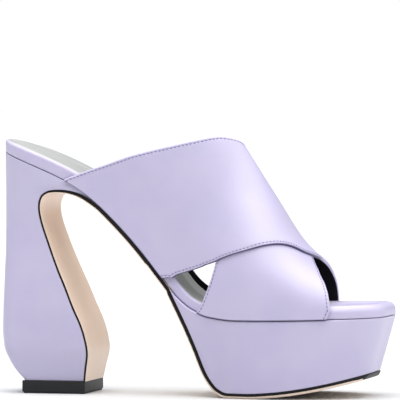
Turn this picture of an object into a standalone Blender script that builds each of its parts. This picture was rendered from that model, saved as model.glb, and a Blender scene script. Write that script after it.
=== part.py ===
"""Platform mule: a right shoe with two wide crossed straps, a sculpted block heel and an open toe.

X runs from heel to toe, Y from the outer side of the foot to the inner side, Z up. All sizes are in metres.
The shapes are worked out with the heel's back at X = 0 and the heel's middle at Y = 0, then moved so that
the origin is the middle of the shoe's box, on the floor.
"""

import math

import bmesh
import bpy
from mathutils import Matrix, Vector

# Driving dimensions.
FOOTBED_LENGTH = 0.2195  # heel to toe, seen from above
BALL_WIDTH = 0.078
HEEL_SEAT_WIDTH = 0.049
HEEL_HEIGHT = 0.1349  # floor to the underside of the footbed, at the back
PLATFORM_HEIGHT = 0.04295  # floor to the underside of the footbed, at the ball
TOE_RISE = 0.00185  # how far the footbed climbs again from the ball to the toe
TOE_SPRING = 0.0107  # how far the sole clears the floor at the toe
FOOTBED_THICKNESS = 0.0072
RIM_ROUNDING = 0.002  # rounding of the padded rim's upper edge
TOE_ROUNDING = 0.0044  # the same edge at the open toe, where the padding is full
RIM_FOOT = 0.0008  # small rounding of its lower edge
SOCK_LENGTH = 0.186  # the sock ends under the straps, short of the toe
SOCK_THICKNESS = 0.0006
SOCK_MARGIN = 0.0024  # bare rim left around the sock
OUTSOLE_THICKNESS = 0.0029
ARCH_THICKNESS = 0.0027  # the same sheet along the arch and up the back of the platform
BREAST_THICKNESS = 0.0011  # the same sheet, skived where it covers the front of the heel
EDGE_BEVEL = 0.0012  # bevel along the outsole's lower edge
WELT_MARGIN = 0.002  # how far platform and outsole stand out past the footbed
PLATFORM_TUCK = 0.0006  # small step in at the platform's upper edge
LEAST_PLATFORM = 0.0009  # the platform ends where it would be thinner than this
PLATFORM_TAPER = 0.0022  # how far each side of the platform leans in towards the floor
TOE_SLANT = 0.0085  # how far the platform's front leans back towards the floor
HEEL_WIDTH = 0.0466
ARCH_CLEARANCE = 0.0079  # heel cover left between the footbed and the top of the arch
TOP_LIFT_LENGTH = 0.0364
TOP_LIFT_WIDTH = 0.0392
TOP_LIFT_HEIGHT = 0.0072
TOP_LIFT_ROUNDING = 0.0012
STRAP_THICKNESS = 0.0022
STRAP_WALL = 0.0048  # straight part of the straps beside the footbed's rim
STRAP_RISE = 0.091  # ridge of the straps above the platform, where the collar crosses it
CROSSING_BITE = 0.0006  # how deep the upper strap is joined into the lower one
BAND_SINK = 0.0003  # how much thinner each face of the straps' inner band is
CLEARANCE = 0.0003  # gap between pieces that touch

# Underside of the footbed. along: share of FOOTBED_LENGTH. fall: share of the drop from heel seat to ball.
SEAT_LINE = [
    {"along": 0.000, "fall": 0.000},
    {"along": 0.088, "fall": 0.076},
    {"along": 0.178, "fall": 0.170},
    {"along": 0.223, "fall": 0.232},
    {"along": 0.269, "fall": 0.317},
    {"along": 0.322, "fall": 0.441},
    {"along": 0.381, "fall": 0.596},
    {"along": 0.433, "fall": 0.750},
    {"along": 0.475, "fall": 0.869},
    {"along": 0.516, "fall": 0.941},
    {"along": 0.567, "fall": 0.984},
    {"along": 0.639, "fall": 1.000},
    {"along": 1.000, "fall": 1.000},
]
TOE_RISE_START = 0.62

# Padding of the footbed. share: of FOOTBED_THICKNESS.
PADDING = [
    {"along": 0.00, "share": 1.00},
    {"along": 0.30, "share": 0.96},
    {"along": 0.50, "share": 0.78},
    {"along": 0.72, "share": 1.00},
    {"along": 1.00, "share": 1.00},
]
TOE_PADDING = {"start": 0.78, "end": 0.92}  # where the rim's rounding grows to that of the toe

# Outline of the footbed before its ends are rounded. seat: share of half the heel seat's width. outer, inner:
# shares of BALL_WIDTH, measured from the heel's middle line.
OUTLINE = [
    {"along": 0.00, "seat": 1.00, "outer": 0.000, "inner": 0.000},
    {"along": 0.18, "seat": 0.98, "outer": 0.000, "inner": 0.000},
    {"along": 0.27, "seat": 0.50, "outer": 0.140, "inner": 0.098},
    {"along": 0.36, "seat": 0.00, "outer": 0.282, "inner": 0.190},
    {"along": 0.43, "seat": 0.00, "outer": 0.286, "inner": 0.165},
    {"along": 0.50, "seat": 0.00, "outer": 0.328, "inner": 0.215},
    {"along": 0.57, "seat": 0.00, "outer": 0.397, "inner": 0.335},
    {"along": 0.64, "seat": 0.00, "outer": 0.460, "inner": 0.433},
    {"along": 0.71, "seat": 0.00, "outer": 0.490, "inner": 0.487},
    {"along": 0.79, "seat": 0.00, "outer": 0.486, "inner": 0.500},
    {"along": 0.87, "seat": 0.00, "outer": 0.451, "inner": 0.478},
    {"along": 0.94, "seat": 0.00, "outer": 0.397, "inner": 0.415},
    {"along": 1.00, "seat": 0.00, "outer": 0.340, "inner": 0.345},
]
HEEL_ROUND = {"span": 0.1244, "power": 2.1}  # rounded ends of the outline: length as a share, and squareness
TOE_ROUND = {"span": 0.20, "power": 5.0}
SOCK_ROUND = {"span": 0.16, "power": 2.6}
TOE_MIDDLE = 0.045  # the toe's middle, towards the inner side, as a share of BALL_WIDTH
TOE_MIDDLE_START = 0.7  # where the outline's middle starts to turn towards it
WELT_END = {"start": 0.82, "end": 0.95}  # where the welt's margin runs out towards the toe

# Front of the heel, from the top lift up to the arch. rise: share of the height from top lift to arch top.
# along: share of FOOTBED_LENGTH.
BREAST_LINE = [
    {"rise": 0.000, "along": 0.2246},
    {"rise": 0.070, "along": 0.2304},
    {"rise": 0.150, "along": 0.2368},
    {"rise": 0.225, "along": 0.2313},
    {"rise": 0.300, "along": 0.2197},
    {"rise": 0.390, "along": 0.2001},
    {"rise": 0.490, "along": 0.1800},
    {"rise": 0.590, "along": 0.1585},
    {"rise": 0.710, "along": 0.1354},
    {"rise": 0.830, "along": 0.1150},
    {"rise": 0.910, "along": 0.1090},
    {"rise": 0.965, "along": 0.1160},
    {"rise": 0.992, "along": 0.1334},
    {"rise": 1.000, "along": 0.1587},
    {"rise": 0.997, "along": 0.1904},
    {"rise": 0.976, "along": 0.2269},
]
ARCH_TOP = 0.158
ARCH_JOINS_SEAT = 0.270  # where the outsole leaves the heel and runs up against the footbed
ARCH_LEAVES_SEAT = 0.4565  # where it leaves the footbed and turns down the back of the platform

# Back of the platform. forward: share of its run. down: share of its drop to the floor.
PLATFORM_BACK = [
    {"forward": 0.063, "down": 0.070},
    {"forward": 0.305, "down": 0.343},
    {"forward": 0.487, "down": 0.565},
    {"forward": 0.667, "down": 0.801},
    {"forward": 0.821, "down": 0.928},
    {"forward": 0.945, "down": 0.984},
]
PLATFORM_LEVELS = (0.0, 0.33, 0.66, 0.95)
TREAD_START = 0.608
TREAD_END = 0.6515
TOE_SPRING_POWER = 1.73

# Where the outsole changes. thickens: share of the heel's front, from its foot, above which the sheet grows
# thicker. widens and height: shares of the arch's front tip, beyond which it widens to the welt's margin.
# outline: share of the same tip, behind which it doesn't follow the footbed's outline. starts, rows: share of
# so many rows of PLATFORM_BACK, from which it takes on its full thickness.
ARCH_CHANGE = {"thickens": 0.72, "widens": 0.55, "height": 0.7, "outline": 0.8}
BACK_CHANGE = {"starts": 0.3, "rows": 5}

# Block of the heel. height: share of HEEL_HEIGHT. back: share of FOOTBED_LENGTH. width: share of HEEL_WIDTH.
# corner: length of the rounded back corners, as a share of HEEL_WIDTH. power: their squareness.
HEEL_BLOCK = [
    {"height": 0.054, "back": 0.0630, "width": 0.810, "corner": 0.09, "power": 3.0},
    {"height": 0.075, "back": 0.0485, "width": 0.850, "corner": 0.12, "power": 3.0},
    {"height": 0.105, "back": 0.0325, "width": 0.890, "corner": 0.16, "power": 3.0},
    {"height": 0.145, "back": 0.0182, "width": 0.950, "corner": 0.19, "power": 3.0},
    {"height": 0.190, "back": 0.0074, "width": 1.005, "corner": 0.21, "power": 3.0},
    {"height": 0.270, "back": 0.0032, "width": 1.035, "corner": 0.22, "power": 2.9},
    {"height": 0.340, "back": 0.0044, "width": 1.050, "corner": 0.23, "power": 2.9},
    {"height": 0.420, "back": 0.0052, "width": 1.025, "corner": 0.24, "power": 2.8},
    {"height": 0.500, "back": 0.0056, "width": 0.990, "corner": 0.26, "power": 2.7},
    {"height": 0.560, "back": 0.0058, "width": 0.955, "corner": 0.28, "power": 2.6},
    {"height": 0.645, "back": 0.0048, "width": 0.910, "corner": 0.32, "power": 2.5},
    {"height": 0.700, "back": 0.0038, "width": 0.900, "corner": 0.36, "power": 2.4},
    {"height": 0.820, "back": 0.0022, "width": 0.940, "corner": 0.45, "power": 2.2},
    {"height": 1.000, "back": 0.0000, "width": 1.050, "corner": 0.55, "power": 2.1},
]
LEVEL_SECTIONS_END = 0.69  # below this share of HEEL_HEIGHT the heel's sections are level
FAN_POWER = 1.5  # how late the sections above take on the footbed's outline

# Ridge of the straps. station: where the section stands on the footbed. ridge: where its ridge is. Both are
# shares of FOOTBED_LENGTH. rise: share of STRAP_RISE above the platform. power: roundness of the section.
RIDGE = [
    {"station": 0.167, "ridge": 0.4995, "rise": 1.395, "power": 2.15},
    {"station": 0.394, "ridge": 0.5945, "rise": 1.072, "power": 2.15},
    {"station": 0.640, "ridge": 0.6882, "rise": 0.709, "power": 2.15},
    {"station": 0.800, "ridge": 0.7535, "rise": 0.447, "power": 2.15},
    {"station": 0.900, "ridge": 0.8110, "rise": 0.311, "power": 2.15},
    {"station": 1.000, "ridge": 0.8750, "rise": 0.207, "power": 2.15},
]
RIDGE_OFFSET = 0.02  # ridge towards the inner side, as a share of BALL_WIDTH
WALL_SHARE = 0.1  # share of the way round, at each side, that is the straight wall

# Edges of the straps as stations, in shares of FOOTBED_LENGTH. round: -1 at the outer side, 0 at the ridge,
# 1 at the inner side. The upper strap runs from the outer back to the inner front.
UPPER_STRAP = [
    {"round": -1.00, "back": 0.180, "front": 0.437},
    {"round": -0.90, "back": 0.196, "front": 0.447},
    {"round": -0.80, "back": 0.2165, "front": 0.489},
    {"round": -0.70, "back": 0.2355, "front": 0.556},
    {"round": -0.55, "back": 0.272, "front": 0.665},
    {"round": -0.40, "back": 0.3085, "front": 0.739},
    {"round": -0.25, "back": 0.3455, "front": 0.797},
    {"round": -0.10, "back": 0.390, "front": 0.847},
    {"round": 0.10, "back": 0.434, "front": 0.872},
    {"round": 0.35, "back": 0.474, "front": 0.868},
    {"round": 0.60, "back": 0.512, "front": 0.855},
    {"round": 0.80, "back": 0.520, "front": 0.841},
    {"round": 1.00, "back": 0.520, "front": 0.817},
]
LOWER_STRAP = [
    {"round": -1.00, "back": 0.533, "front": 0.870},
    {"round": -0.90, "back": 0.539, "front": 0.881},
    {"round": -0.80, "back": 0.5435, "front": 0.893},
    {"round": -0.65, "back": 0.537, "front": 0.907},
    {"round": -0.50, "back": 0.522, "front": 0.914},
    {"round": -0.30, "back": 0.490, "front": 0.912},
    {"round": -0.10, "back": 0.452, "front": 0.892},
    {"round": 0.10, "back": 0.420, "front": 0.845},
    {"round": 0.35, "back": 0.382, "front": 0.715},
    {"round": 0.60, "back": 0.312, "front": 0.520},
    {"round": 0.85, "back": 0.228, "front": 0.385},
    {"round": 1.00, "back": 0.205, "front": 0.375},
]
INNER_BAND = {"round": 0.878, "back": 0.36, "front": 0.55}  # low band that joins their feet at the inner side
LIFT_START = 0.86  # the upper strap lies on the foot outside these shares of the way round,
LIFT_FULL = 0.66  # and clear over the lower strap inside these

# How finely curved pieces are cut.
STRAP_ROWS = 12
STRAP_COLUMNS = 40
BAND_COLUMNS = 4
PATH_STEPS = 3
SEAT_POINTS = 5
SPRING_STEPS = 9
HEEL_STRIDE = 2
HEEL_SIDE_STEPS = 4
CORNER_STEPS = 7
END_STEPS = 7
LENGTH_STEPS = 24
RIM_DEGREES = (25, 50, 70, 90)
END_ANGLE = math.radians(83)
SHARP_ANGLE = math.radians(40)
SLOPE_STEP = 0.0025  # short step over which a slope is read, as a share of the length or of the way round


def smooth_step(share):
    """0 below 0, 1 above 1, and an S curve between."""
    share = min(max(share, 0.0), 1.0)
    return share * share * (3 - 2 * share)


def reader(table, across, column):
    """A smooth curve through one column of a table, without overshoot, as a function of another column."""
    xs = [row[across] for row in table]
    ys = [row[column] for row in table]
    slopes = [(ys[i + 1] - ys[i]) / (xs[i + 1] - xs[i]) for i in range(len(xs) - 1)]
    tangents = [slopes[0]]
    for before, after in zip(slopes, slopes[1:]):
        same_way = before * after > 0
        tangents.append(2 * before * after / (before + after) if same_way else 0.0)
    tangents.append(slopes[-1])

    def read(x):
        if x <= xs[0]:
            return ys[0]
        if x >= xs[-1]:
            return ys[-1]
        i = next(k for k in range(len(xs) - 1) if x <= xs[k + 1])
        step = xs[i + 1] - xs[i]
        t = (x - xs[i]) / step
        start = (1 + 2 * t) * (1 - t) ** 2 * ys[i] + t * (1 - t) ** 2 * step * tangents[i]
        end = t * t * (3 - 2 * t) * ys[i + 1] - t * t * (1 - t) * step * tangents[i + 1]
        return start + end

    return read


def through(points, steps):
    """A rounded line through points in the X-Z plane, as a list of points."""
    ends = [2 * points[0] - points[1], *points, 2 * points[-1] - points[-2]]
    line = []
    for i in range(1, len(ends) - 2):
        before, start, end, after = ends[i - 1 : i + 3]
        for k in range(steps):
            t = k / steps
            bend = 2 * start + (end - before) * t
            bend += (2 * before - 5 * start + 4 * end - after) * t**2
            bend += (3 * start - before - 3 * end + after) * t**3
            line.append(bend / 2)
    return [*line, points[-1]]


seat_fall = reader(SEAT_LINE, "along", "fall")
outline_seat = reader(OUTLINE, "along", "seat")
outline_outer = reader(OUTLINE, "along", "outer")
outline_inner = reader(OUTLINE, "along", "inner")
padding_share = reader(PADDING, "along", "share")


def seat_height(x):
    """Height of the footbed's underside."""
    along = x / FOOTBED_LENGTH
    drop = seat_fall(along) * (HEEL_HEIGHT - PLATFORM_HEIGHT)
    rise = smooth_step((along - TOE_RISE_START) / (1 - TOE_RISE_START) / 2) * 2 * TOE_RISE
    return HEEL_HEIGHT - drop + rise


def seat_normal(x):
    """Direction square to the footbed, turned upright at the back end of the heel."""
    step = SLOPE_STEP * FOOTBED_LENGTH
    slope = (seat_height(x + step) - seat_height(x - step)) / (2 * step)
    slope *= smooth_step(x / (HEEL_SEAT_WIDTH / 2))
    return Vector((-slope, 0, 1)).normalized()


def on_seat(x, y, height):
    """A point at a height above the footbed's underside, square to it."""
    return Vector((x, y, seat_height(x))) + seat_normal(x) * height


def end_share(x, length, toe_round):
    """How much of its width the outline keeps at x, where its two ends are rounded."""
    share = 1.0
    heel = HEEL_ROUND["span"] * FOOTBED_LENGTH
    toe = toe_round["span"] * FOOTBED_LENGTH
    if x < heel:
        reach = min((heel - x) / heel, 1.0)
        share = (1 - reach ** HEEL_ROUND["power"]) ** (1 / HEEL_ROUND["power"])
    if x > length - toe:
        reach = min((x - length + toe) / toe, 1.0)
        share = (1 - reach ** toe_round["power"]) ** (1 / toe_round["power"])
    return share


def outline(x, margin=0.0, rounded=True, length=FOOTBED_LENGTH, toe_round=TOE_ROUND):
    """Y of the footbed's outer and inner side at x, with a margin added. Its ends can be left unrounded."""
    along = x / FOOTBED_LENGTH
    seat = outline_seat(along) * HEEL_SEAT_WIDTH / 2
    middle = TOE_MIDDLE * BALL_WIDTH * smooth_step((along - TOE_MIDDLE_START) / (1 - TOE_MIDDLE_START))
    outer = -(seat + outline_outer(along) * BALL_WIDTH + margin)
    inner = seat + outline_inner(along) * BALL_WIDTH + margin
    share = end_share(x, length, toe_round) if rounded else 1.0
    return middle + (outer - middle) * share, middle + (inner - middle) * share


def end_stations(span, power, steps):
    """Distances from a rounded end, spaced evenly round its curve, from the side to the end."""
    angles = [END_ANGLE * k / steps for k in range(steps + 1)]
    return [span * (1 - math.sin(angle) ** (2 / power)) for angle in angles]


def long_stations(start, middle_steps, length=FOOTBED_LENGTH, toe_round=TOE_ROUND):
    """X values from start to the toe end, closer together where the outline turns."""
    toe = toe_round["span"] * FOOTBED_LENGTH
    turn = length - toe
    middle = [start + (turn - start) * k / middle_steps for k in range(middle_steps)]
    return middle + [length - d for d in end_stations(toe, toe_round["power"], END_STEPS)]


def full_stations(middle_steps, length, toe_round):
    """X values from the very back of the heel to the toe end."""
    heel = HEEL_ROUND["span"] * FOOTBED_LENGTH
    back = end_stations(heel, HEEL_ROUND["power"], END_STEPS)[:0:-1]
    return back + long_stations(heel, middle_steps, length, toe_round)


def platform_top_x(x, start):
    """X on the platform's upper edge, over the point of its underside at x."""
    end = FOOTBED_LENGTH - TOE_SLANT
    return start + (x - start) * (FOOTBED_LENGTH - start) / (end - start)


def platform_under_x(x_top, start):
    """X on the platform's underside, below the point of its upper edge at x_top."""
    end = FOOTBED_LENGTH - TOE_SLANT
    return start + (x_top - start) * (end - start) / (FOOTBED_LENGTH - start)


def sole_path():
    """Inner face of the outsole as seen from the side, from the top lift, over the arch, to the toe.

    Returns the points, and which of them are at the heel's front tip and at the platform's back tip.
    """
    arch_top = seat_height(ARCH_TOP * FOOTBED_LENGTH) - ARCH_CLEARANCE
    breast = [
        Vector((row["along"] * FOOTBED_LENGTH, 0, TOP_LIFT_HEIGHT + row["rise"] * (arch_top - TOP_LIFT_HEIGHT)))
        for row in BREAST_LINE
    ]
    held = ARCH_LEAVES_SEAT - ARCH_JOINS_SEAT
    seat = [
        on_seat((ARCH_JOINS_SEAT + held * k / SEAT_POINTS) * FOOTBED_LENGTH, 0, -CLEARANCE)
        for k in range(SEAT_POINTS + 1)
    ]
    corner = seat[-1]
    run = TREAD_START * FOOTBED_LENGTH - corner.x
    drop = corner.z - OUTSOLE_THICKNESS
    back = [corner + Vector((row["forward"] * run, 0, -row["down"] * drop)) for row in PLATFORM_BACK]
    tread = [
        Vector(((TREAD_START + share * (TREAD_END - TREAD_START)) * FOOTBED_LENGTH, 0, OUTSOLE_THICKNESS))
        for share in (0.0, 0.5, 1.0)
    ]
    heel_tip = len(breast) * PATH_STEPS
    platform_tip = heel_tip + (len(seat) - 1) * PATH_STEPS
    path = through(breast + seat + back + tread, PATH_STEPS)
    for point in path[platform_tip:]:
        point.z = max(point.z, OUTSOLE_THICKNESS)
    spring_start = path[-1].x
    toe_end = FOOTBED_LENGTH - TOE_SLANT
    for x_top in long_stations(platform_top_x(spring_start, corner.x), SPRING_STEPS)[1:]:
        x = platform_under_x(x_top, corner.x)
        share = (x - spring_start) / (toe_end - spring_start)
        path.append(Vector((x, 0, OUTSOLE_THICKNESS + TOE_SPRING * share**TOE_SPRING_POWER)))
    return path, heel_tip, platform_tip


def loft(name, rings, material, caps=("fan", "fan")):
    """A closed solid through rings of points. A cap is a fan, or a ladder that joins each side to the other."""
    mesh = bmesh.new()
    made = [[mesh.verts.new(point) for point in ring] for ring in rings]
    for ring, following in zip(made, made[1:]):
        for k in range(len(ring)):
            after = (k + 1) % len(ring)
            mesh.faces.new((ring[k], ring[after], following[after], following[k]))
    for ring, cap in zip((made[0], made[-1]), caps):
        if cap == "fan":
            mesh.faces.new(ring)
            continue
        last = len(ring) - 1
        for k in range(len(ring) // 2 - 1):
            mesh.faces.new((ring[k], ring[k + 1], ring[last - k - 1], ring[last - k]))
    bmesh.ops.triangulate(mesh, faces=[face for face in mesh.faces if len(face.verts) > 4])
    bmesh.ops.recalc_face_normals(mesh, faces=mesh.faces)
    data = bpy.data.meshes.new(name)
    mesh.to_mesh(data)
    mesh.free()
    data.shade_smooth()
    data.set_sharp_from_angle(angle=SHARP_ANGLE)
    data.materials.append(material)
    piece = bpy.data.objects.new(name, data)
    bpy.context.scene.collection.objects.link(piece)
    return piece


def finish(name, colour, roughness, metallic=0.0):
    """A plain surface finish."""
    material = bpy.data.materials.new(name)
    material.use_nodes = True
    shader = material.node_tree.nodes["Principled BSDF"]
    shader.inputs["Base Color"].default_value = (*colour, 1)
    shader.inputs["Roughness"].default_value = roughness
    shader.inputs["Metallic"].default_value = metallic
    return material


def padded(x, height):
    """A height above the footbed's underside, once its padding is pressed to what it is at x."""
    return height - (1 - padding_share(x / FOOTBED_LENGTH)) * min(height, FOOTBED_THICKNESS)


def rim_rounding(x):
    start, end = TOE_PADDING["start"], TOE_PADDING["end"]
    growth = smooth_step((x / FOOTBED_LENGTH - start) / (end - start))
    return RIM_ROUNDING + (TOE_ROUNDING - RIM_ROUNDING) * growth


def outline_loop(level, length, toe_round):
    """Points round the footbed's outline, moved in by a level's inset: outer side first, inner side back."""
    stations = full_stations(LENGTH_STEPS, length, toe_round)
    sides = [[Vector((x, outline(x, 0, True, length, toe_round)[side])) for x in stations] for side in (0, 1)]
    loop = sides[0] + sides[1][::-1]
    moved = []
    for k, point in enumerate(loop):
        along = (loop[(k + 1) % len(loop)] - point).normalized() + (point - loop[k - 1]).normalized()
        along.normalize()
        moved.append(point + Vector((-along.y, along.x)) * level(point.x)[1])
    return moved


def make_padded(name, levels, material, length=FOOTBED_LENGTH, toe_round=TOE_ROUND):
    """A flat padded piece that follows the footbed. Each level gives, for an x, a height and an inset."""
    rings = []
    for level in levels:
        loop = outline_loop(level, length, toe_round)
        stations = full_stations(LENGTH_STEPS, length, toe_round)
        stations += stations[::-1]
        rings.append([on_seat(x, y, padded(x, level(own)[0])) for (x, y), own in zip(loop, stations)])
    return loft(name, rings, material, caps=("ladder", "ladder"))


def flat_level(height, inset):
    return lambda x: (height, inset)


def rounded_level(degrees):
    """A level on the rounding of the rim's upper edge. 0 is at its lower end, 90 at the top."""
    turn = math.radians(degrees)
    return lambda x: (
        FOOTBED_THICKNESS - rim_rounding(x) * (1 - math.sin(turn)),
        rim_rounding(x) * (1 - math.cos(turn)),
    )


def make_footbed(material):
    """The padded, wrapped board that the foot stands on."""
    levels = [flat_level(0.0, RIM_FOOT), flat_level(RIM_FOOT, 0.0), rounded_level(0)]
    levels += [rounded_level(degrees) for degrees in RIM_DEGREES]
    return make_padded("footbed", levels, material)


def make_sock(material):
    """The thin sock glued on the footbed."""
    low = FOOTBED_THICKNESS + CLEARANCE
    edge = SOCK_MARGIN + SOCK_THICKNESS / 3
    levels = [flat_level(low, SOCK_MARGIN), flat_level(low + SOCK_THICKNESS, edge)]
    return make_padded("sock", levels, material, SOCK_LENGTH, SOCK_ROUND)


def path_normals(points):
    """For each point of the outsole's path, the direction away from the shoe: straight down on the tread."""
    normals = []
    for k, point in enumerate(points):
        along = points[min(k + 1, len(points) - 1)] - points[max(k - 1, 0)]
        on_tread = point.z <= OUTSOLE_THICKNESS
        normals.append(Vector((0, 0, -1)) if on_tread else Vector((along.z, 0, -along.x)).normalized())
    return normals


heel_back = reader(HEEL_BLOCK, "height", "back")
heel_width = reader(HEEL_BLOCK, "height", "width")
heel_corner = reader(HEEL_BLOCK, "height", "corner")
heel_power = reader(HEEL_BLOCK, "height", "power")


def heel_half_width(z):
    return heel_width(z / HEEL_HEIGHT) * HEEL_WIDTH / 2


def platform_sides(x_top, depth, level):
    """Y of the platform's two sides. depth is its height there, level 0 at its underside and 1 at its top."""
    along = x_top / FOOTBED_LENGTH
    start, end = WELT_END["start"], WELT_END["end"]
    margin = WELT_MARGIN * (1 - smooth_step((along - start) / (end - start)))
    taper = PLATFORM_TAPER * (1 - level) * min(depth / PLATFORM_HEIGHT, 1)
    return outline(x_top, margin - taper)


def make_outsole(material, path, normals, heel_tip, platform_tip):
    """One sheet: tread, back of the platform, arch and front of the heel."""
    rings = []
    tip = path[heel_tip]
    start = path[platform_tip]
    thickens, widens = ARCH_CHANGE["thickens"], ARCH_CHANGE["widens"]
    for k, (point, normal) in enumerate(zip(path, normals)):
        up = smooth_step((k / heel_tip - thickens) / (1 - thickens))
        down = smooth_step((k - platform_tip) / (BACK_CHANGE["rows"] * PATH_STEPS) - BACK_CHANGE["starts"])
        thickness = BREAST_THICKNESS + (ARCH_THICKNESS - BREAST_THICKNESS) * up
        thickness += (OUTSOLE_THICKNESS - ARCH_THICKNESS) * down
        if k <= platform_tip:
            raised = point.z > ARCH_CHANGE["height"] * tip.z
            share = smooth_step((point.x / tip.x - widens) / (1 - widens)) if raised else 0.0
            heel = heel_half_width(point.z)
            outer, inner = outline(max(point.x, tip.x * ARCH_CHANGE["outline"]), WELT_MARGIN * share)
            outer = -heel + (outer + heel) * share
            inner = heel + (inner - heel) * share
        else:
            x_top = platform_top_x(point.x, start.x)
            outer, inner = platform_sides(x_top, seat_height(x_top) - point.z, 0.0)
        bevel = min(EDGE_BEVEL, thickness / 2)
        lower = point + normal * thickness
        side = point + normal * (thickness - bevel)
        rings.append(
            [
                Vector((point.x, outer, point.z)),
                Vector((side.x, outer, side.z)),
                Vector((lower.x, outer + bevel, lower.z)),
                Vector((lower.x, inner - bevel, lower.z)),
                Vector((side.x, inner, side.z)),
                Vector((point.x, inner, point.z)),
            ]
        )
    return loft("outsole", rings, material)


def make_platform(material, path, normals, platform_tip):
    """The raised forefoot: its top follows the footbed, its back and underside follow the outsole."""
    start = path[platform_tip]
    rings = []
    for point, normal in zip(path[platform_tip + 1 :], normals[platform_tip + 1 :]):
        low = point - normal * CLEARANCE
        x_top = platform_top_x(point.x, start.x)
        high = on_seat(x_top, 0, -CLEARANCE)
        depth = high.z - low.z
        if depth < LEAST_PLATFORM:
            continue
        sides = [[], []]
        for level in (*PLATFORM_LEVELS, 1.0):
            middle = low.lerp(high, level)
            tuck = PLATFORM_TUCK if level == 1.0 else 0.0
            for side, y in enumerate(platform_sides(x_top, depth, level)):
                sides[side].append(Vector((middle.x, y + (tuck, -tuck)[side], middle.z)))
        top = [sides[0][-1].lerp(sides[1][-1], 0.5)]
        bottom = [sides[1][0].lerp(sides[0][0], 0.5)]
        rings.append(sides[0] + top + sides[1][::-1] + bottom)
    return loft("platform", rings, material)


def heel_ring(front, back_height, topness):
    """One section of the heel, from its front corner round the back to the other front corner.

    front is the point on the outsole's path, back_height the height at the back of the heel.
    """
    share = back_height / HEEL_HEIGHT
    back = heel_back(share) * FOOTBED_LENGTH
    half = heel_half_width(back_height)
    corner = heel_corner(share) * HEEL_WIDTH
    power = heel_power(share)
    turn = min(back + corner, front.x)
    xs = [front.x + (turn - front.x) * k / HEEL_SIDE_STEPS for k in range(HEEL_SIDE_STEPS)]
    for k in range(CORNER_STEPS + 1):
        angle = END_ANGLE * k / CORNER_STEPS
        xs.append(turn - (turn - back) * math.sin(angle) ** (2 / power))
    sides = [[], []]
    for x in xs:
        reach = min(max((turn - x) / (turn - back), 0.0), 1.0)
        block = half * (1 - reach**power) ** (1 / power)
        share = (front.x - x) / (front.x - back)
        level = front.z + (back_height - front.z) * share
        level_seat = seat_height(front.x) + (seat_height(back) - seat_height(front.x)) * share
        bulge = (seat_height(x) - level_seat) * topness
        for side, y in enumerate(outline(x)):
            own = (-block, block)[side]
            sides[side].append(Vector((x, own + (y - own) * topness, level + bulge)))
    return sides[0] + sides[1][::-1]


def make_heel(material, path, normals, heel_tip):
    """The covered heel. Its sections are level below and fan out towards the footbed above."""
    inner = [point - normal * CLEARANCE for point, normal in zip(path[:heel_tip], normals)]
    lengths = [0.0]
    for before, after in zip(inner, inner[1:]):
        lengths.append(lengths[-1] + (after - before).length)
    level_end = LEVEL_SECTIONS_END * HEEL_HEIGHT
    turning = next(length for point, length in zip(inner, lengths) if point.z >= level_end)
    top = seat_height(0) - CLEARANCE
    rings = []
    for k in range(0, len(inner), HEEL_STRIDE):
        front = inner[k]
        share = max(lengths[k] - turning, 0.0) / (lengths[-1] - turning)
        front_height = max(front.z, TOP_LIFT_HEIGHT + CLEARANCE)
        back_height = level_end + share * (top - level_end) if share > 0 else front_height
        front = Vector((front.x, 0, front_height))
        rings.append(heel_ring(front, back_height, smooth_step(share) ** FAN_POWER))
    tip = inner[-1]
    rings.append(heel_ring(Vector((tip.x, 0, tip.z)), top, 1.0))
    return loft("heel", rings, material, caps=("ladder", "ladder"))


def make_top_lift(material, path):
    """The small block that the heel stands on."""
    front = path[0].x + BREAST_THICKNESS
    mesh = bmesh.new()
    bmesh.ops.create_cube(mesh, size=1)
    bmesh.ops.scale(mesh, verts=mesh.verts, vec=(TOP_LIFT_LENGTH, TOP_LIFT_WIDTH, TOP_LIFT_HEIGHT))
    middle = Vector((front - TOP_LIFT_LENGTH / 2, 0, TOP_LIFT_HEIGHT / 2))
    bmesh.ops.translate(mesh, verts=mesh.verts, vec=middle)
    data = bpy.data.meshes.new("top_lift")
    mesh.to_mesh(data)
    mesh.free()
    data.materials.append(material)
    piece = bpy.data.objects.new("top_lift", data)
    bpy.context.scene.collection.objects.link(piece)
    bevel = piece.modifiers.new("corners", "BEVEL")
    bevel.width = TOP_LIFT_ROUNDING
    bevel.segments = 2
    bevel.limit_method = "ANGLE"
    return piece


ridge_along = reader(RIDGE, "station", "ridge")
ridge_rise = reader(RIDGE, "station", "rise")
ridge_power = reader(RIDGE, "station", "power")


def foot_surface(x, way_round):
    """Inner face of the straps. x is the station on the footbed, way_round -1 to 1 from side to side."""
    along = x / FOOTBED_LENGTH
    outer, inner = outline(x, CLEARANCE, rounded=False)
    side_y = outer if way_round < 0 else inner
    up = 1 - abs(way_round)
    if up < WALL_SHARE:
        return on_seat(x, side_y, STRAP_WALL * up / WALL_SHARE)
    foot = on_seat(x, side_y, STRAP_WALL)
    angle = (up - WALL_SHARE) / (1 - WALL_SHARE) * math.pi / 2
    rounding = 2 / ridge_power(along)
    ridge = Vector(
        (
            ridge_along(along) * FOOTBED_LENGTH,
            RIDGE_OFFSET * BALL_WIDTH,
            PLATFORM_HEIGHT + ridge_rise(along) * STRAP_RISE,
        )
    )
    centre = Vector((foot.x, ridge.y, foot.z))
    out = max(math.cos(angle), 0.0) ** rounding
    raised = math.sin(angle) ** rounding
    return centre + (foot - centre) * out + (ridge - centre) * raised


def surface_normal(x, way_round):
    """Direction out of the foot."""
    dx = SLOPE_STEP * FOOTBED_LENGTH
    low = max(way_round - SLOPE_STEP, -1.0)
    high = min(way_round + SLOPE_STEP, 1.0)
    along = foot_surface(x + dx, way_round) - foot_surface(x - dx, way_round)
    across = foot_surface(x, high) - foot_surface(x, low)
    return along.cross(across).normalized()


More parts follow.
